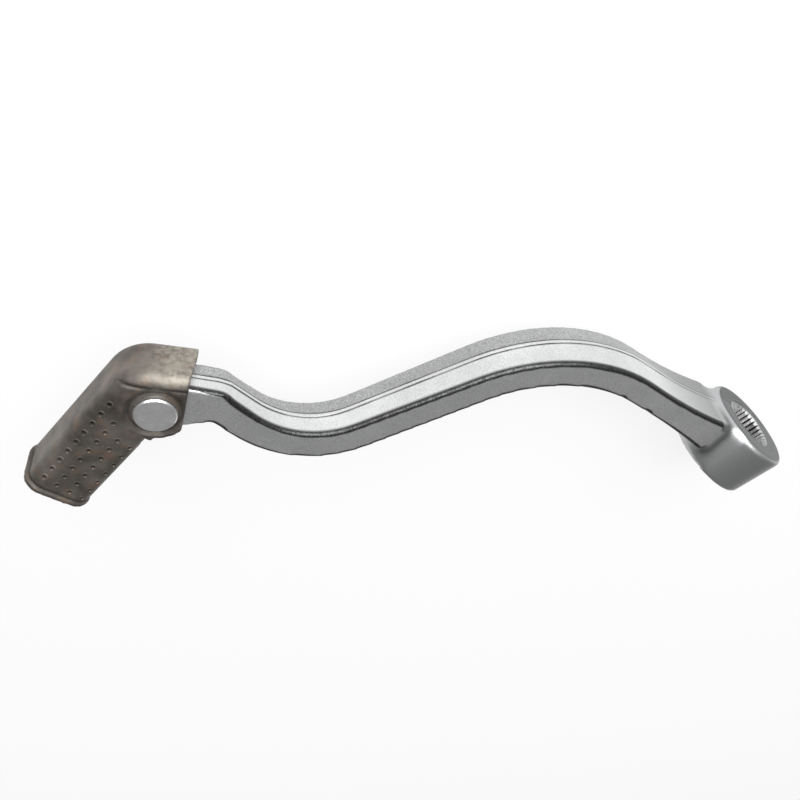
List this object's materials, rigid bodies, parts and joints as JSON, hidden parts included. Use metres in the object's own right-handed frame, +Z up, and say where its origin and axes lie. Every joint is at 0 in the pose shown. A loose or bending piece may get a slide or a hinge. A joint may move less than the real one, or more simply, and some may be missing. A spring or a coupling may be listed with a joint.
{
  "type": "motorcycle gear shift lever",
  "caption": "S-shaped forged gear shift lever with a serrated shaft bore and a folding, sprung toe piece pressed from sheet steel with punched grip holes.",
  "frame": {"origin": "on the axis of the serrated bore, at the middle of the boss", "axes": "+X forwards from the boss to the toe piece, +Y outboard along the bore, away from the engine, +Z up; the arm's own plane and the toe piece's pivot are canted about 7 degrees from it"},
  "size_m": [0.1585, 0.096, 0.0334],
  "materials": {
    "forging": "fine blasted satin",
    "pressed_steel": "matt brown-grey phosphate, worn bright on the web",
    "rivet_steel": "plain bright",
    "spring_steel": "drawn wire"
  },
  "bodies": {
    "lever": {"lever_arm": "forging", "return_spring": "spring_steel"},
    "toe": {"toe_piece": "pressed_steel", "pivot_rivet": "rivet_steel"}
  },
  "joints": [
    {"name": "toe_fold", "type": "hinge", "parent": "lever", "child": "toe", "pos_m": [0.13174, 0.05632, 0.0099], "axis": [-0.0338, -0.1253, 0.9915], "range_deg": [0, 60], "stiffness_Nm_per_rad": 0.15, "springref_deg": -34.38, "deforming": ["return_spring"]}
  ]
}
